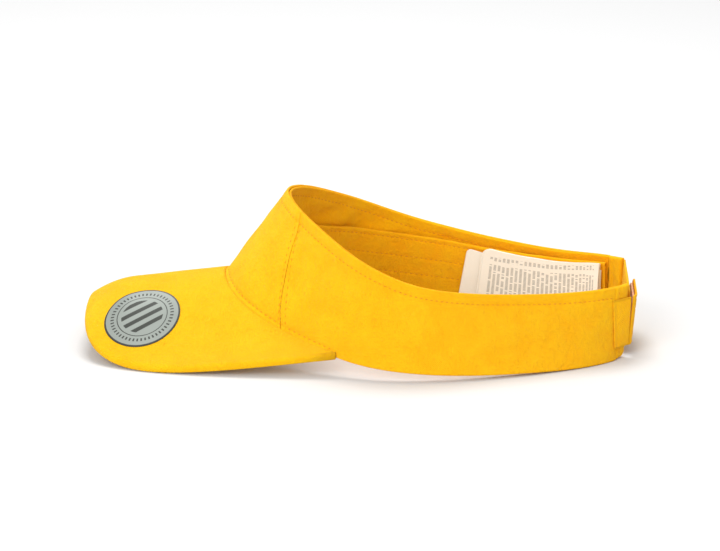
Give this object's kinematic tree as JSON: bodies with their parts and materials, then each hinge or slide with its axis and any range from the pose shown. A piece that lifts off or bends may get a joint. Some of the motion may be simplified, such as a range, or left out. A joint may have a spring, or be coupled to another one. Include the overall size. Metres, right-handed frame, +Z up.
{
  "type": "sun visor",
  "caption": "Sun visor: arched cloth-covered brim, open-topped curved head band with inner sweatband, and hook-and-loop closure tabs at the back.",
  "frame": {"origin": "centre of the footprint of the whole visor, on the surface it stands on", "axes": "the wearer looks along -Y, +X is the wearer's left, +Z is up"},
  "size_m": [0.1422, 0.2772, 0.0786],
  "materials": {
    "twill": "matt cotton twill, bright golden yellow",
    "lining": "matt cotton, golden orange in the shade",
    "sweatband": "matt cotton twill strip with rows of stitching",
    "board": "flexible moulded sheet, hidden",
    "buckram": "stiffened open-weave cloth, hidden",
    "foil": null,
    "hook_tape": "tiny plastic hooks on a woven strip",
    "loop_tape": "brushed loop pile",
    "satin": null
  },
  "bodies": {
    "front": {"brim_board": "board", "brim_top_cover": "twill", "brim_under_cover": "twill", "brim_sticker": "foil", "front_panel": "twill", "front_stiffener": "buckram", "front_lining": "lining", "sweatband_front": "sweatband", "side_panel_left_fore": "twill", "side_panel_right_fore": "twill"},
    "left_arm": {"side_panel_left": "twill", "side_lining_left": "lining", "sweatband_left": "sweatband", "end_hem_left": "twill"},
    "right_arm": {"side_panel_right": "twill", "side_lining_right": "lining", "sweatband_right": "sweatband", "end_hem_right": "twill"},
    "hook_root": {"hook_tab_root": "twill"},
    "hook_tab": {"hook_tab_cloth": "twill", "hook_tape": "hook_tape"},
    "loop_tab": {"loop_tab_cloth": "twill", "loop_tape": "loop_tape"},
    "label_back": {"label_page_back": "satin"},
    "label_middle": {"label_page_middle": "satin"},
    "label_front": {"label_page_front": "satin"}
  },
  "joints": [
    {"name": "left_arm_swing", "type": "hinge", "parent": "front", "child": "left_arm", "pos_m": [0.0674, 0.00023, 0], "axis": [0, 0, -1], "range_deg": [0, 8]},
    {"name": "right_arm_swing", "type": "hinge", "parent": "front", "child": "right_arm", "pos_m": [-0.0674, 0.00023, 0], "axis": [0, 0, 1], "range_deg": [0, 8]},
    {"name": "hook_root_turn", "type": "hinge", "parent": "left_arm", "child": "hook_root", "pos_m": [0.0225, 0.13223, 0], "axis": [0, 0, 1], "range_deg": [0, 8]},
    {"name": "loop_tab_turn", "type": "hinge", "parent": "right_arm", "child": "loop_tab", "pos_m": [-0.0225, 0.13223, 0], "axis": [0, 0, -1], "range_deg": [0, 8]},
    {"name": "hook_tab_peel", "type": "hinge", "parent": "hook_root", "child": "hook_tab", "pos_m": [0.023, 0.13423, 0], "axis": [0, -0.0896, -0.996], "range_deg": [0, 110]},
    {"name": "label_back_turn", "type": "hinge", "parent": "right_arm", "child": "label_back", "pos_m": [-0.02752, 0.12214, 0.0027], "axis": [0.0956, 0.0108, 0.9954], "range_deg": [0, 30], "stiffness_Nm_per_rad": 0.001},
    {"name": "label_middle_turn", "type": "hinge", "parent": "label_back", "child": "label_middle", "pos_m": [-0.02672, 0.12125, 0.00262], "axis": [0.1014, 0.0201, 0.9946], "range_deg": [0, 25], "stiffness_Nm_per_rad": 0.001},
    {"name": "label_front_turn", "type": "hinge", "parent": "label_middle", "child": "label_front", "pos_m": [-0.02592, 0.12036, 0.00255], "axis": [0.1081, 0.0285, 0.9937], "range_deg": [0, 25], "stiffness_Nm_per_rad": 0.001}
  ],
  "couplings": [
    {"joint": "right_arm_swing", "follows": "left_arm_swing", "ratio": 1},
    {"joint": "hook_root_turn", "follows": "left_arm_swing", "ratio": 1},
    {"joint": "loop_tab_turn", "follows": "left_arm_swing", "ratio": 1}
  ]
}
